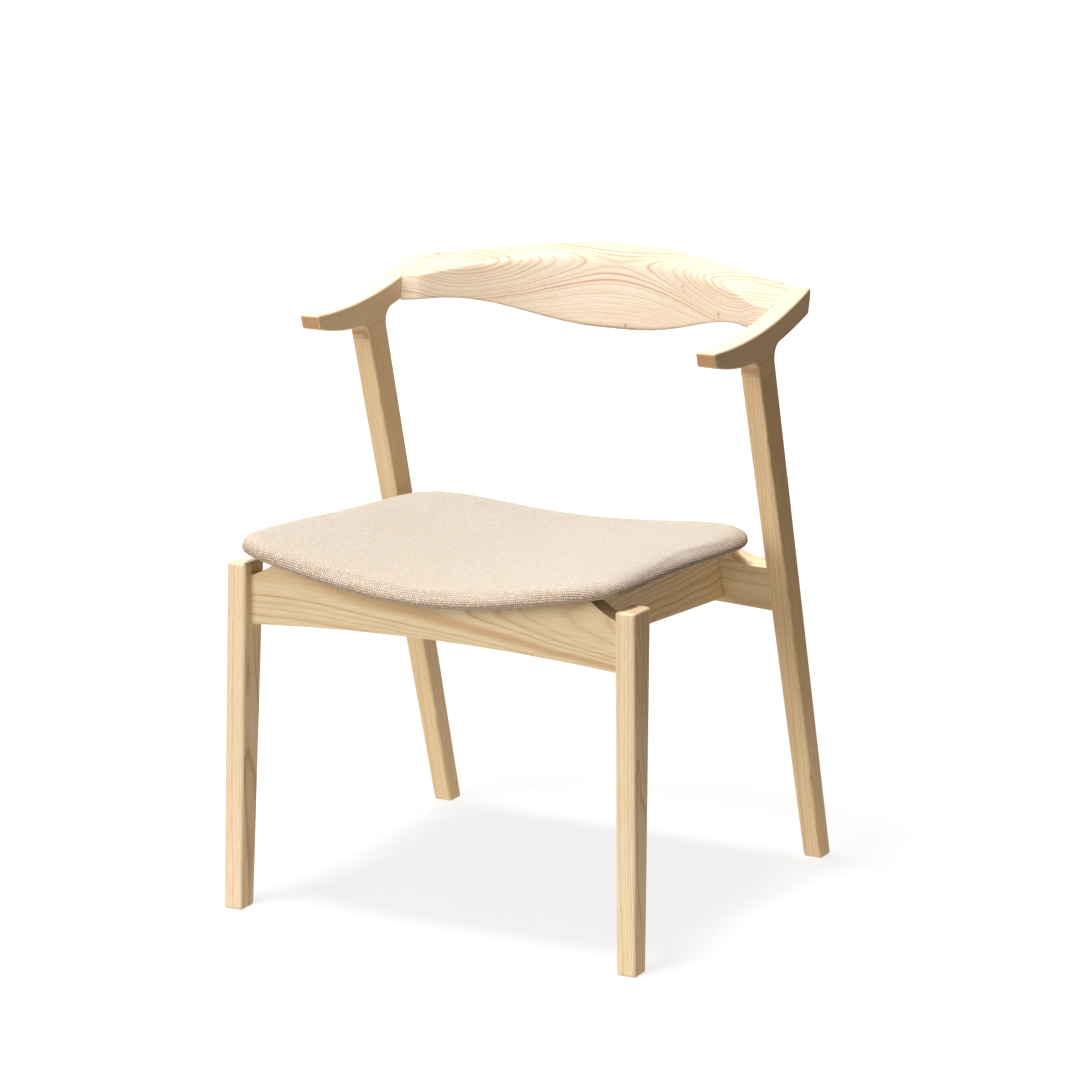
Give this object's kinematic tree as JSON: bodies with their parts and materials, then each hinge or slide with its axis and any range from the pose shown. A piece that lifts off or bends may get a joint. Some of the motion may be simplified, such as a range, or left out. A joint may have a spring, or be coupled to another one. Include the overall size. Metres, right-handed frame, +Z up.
{
  "type": "wooden armchair",
  "caption": "Low-backed armchair with splayed board legs, short arms, a sculpted curved back rail and a fabric-covered saddle seat.",
  "frame": {"origin": "on the floor, at the centre of the chair's bounding box in plan", "axes": "+Z up, the chair faces -Y, +X is at the right of somebody who looks at the chair's front"},
  "size_m": [0.52, 0.524, 0.7076],
  "materials": {
    "ash": "satin clear lacquer over pale natural ash",
    "beech_dowel": "raw beech",
    "plywood": "raw moulded plywood",
    "seat_fabric": "plain-woven beige upholstery cloth",
    "foam": "open-cell seat foam",
    "dust_cloth": "thin non-woven cloth",
    "steel": "zinc plated",
    "brass": "yellow passivated zinc"
  },
  "bodies": {
    "root": {"front_leg_left": "ash", "front_leg_right": "ash", "rear_leg_left": "ash", "rear_leg_right": "ash", "arm_left": "ash", "arm_right": "ash", "back_rail": "ash", "front_rail": "ash", "rear_rail": "ash", "side_rail_left": "ash", "side_rail_right": "ash", "corner_block_front_left": "ash", "corner_block_front_right": "ash", "corner_block_rear_left": "ash", "corner_block_rear_right": "ash", "front_rail_dowels_left": "beech_dowel", "front_rail_dowels_right": "beech_dowel", "rear_rail_dowels_left": "beech_dowel", "rear_rail_dowels_right": "beech_dowel", "side_rail_dowels_left": "beech_dowel", "side_rail_dowels_right": "beech_dowel", "arm_dowels_left": "beech_dowel", "arm_dowels_right": "beech_dowel", "back_rail_dowels_left": "beech_dowel", "back_rail_dowels_right": "beech_dowel", "seat_board": "plywood", "seat_foam": "foam", "seat_cover": "seat_fabric", "seat_dust_cover": "dust_cloth", "seat_inserts": "brass", "seat_bolts": "steel", "cover_staples": "steel"}
  },
  "joints": []
}
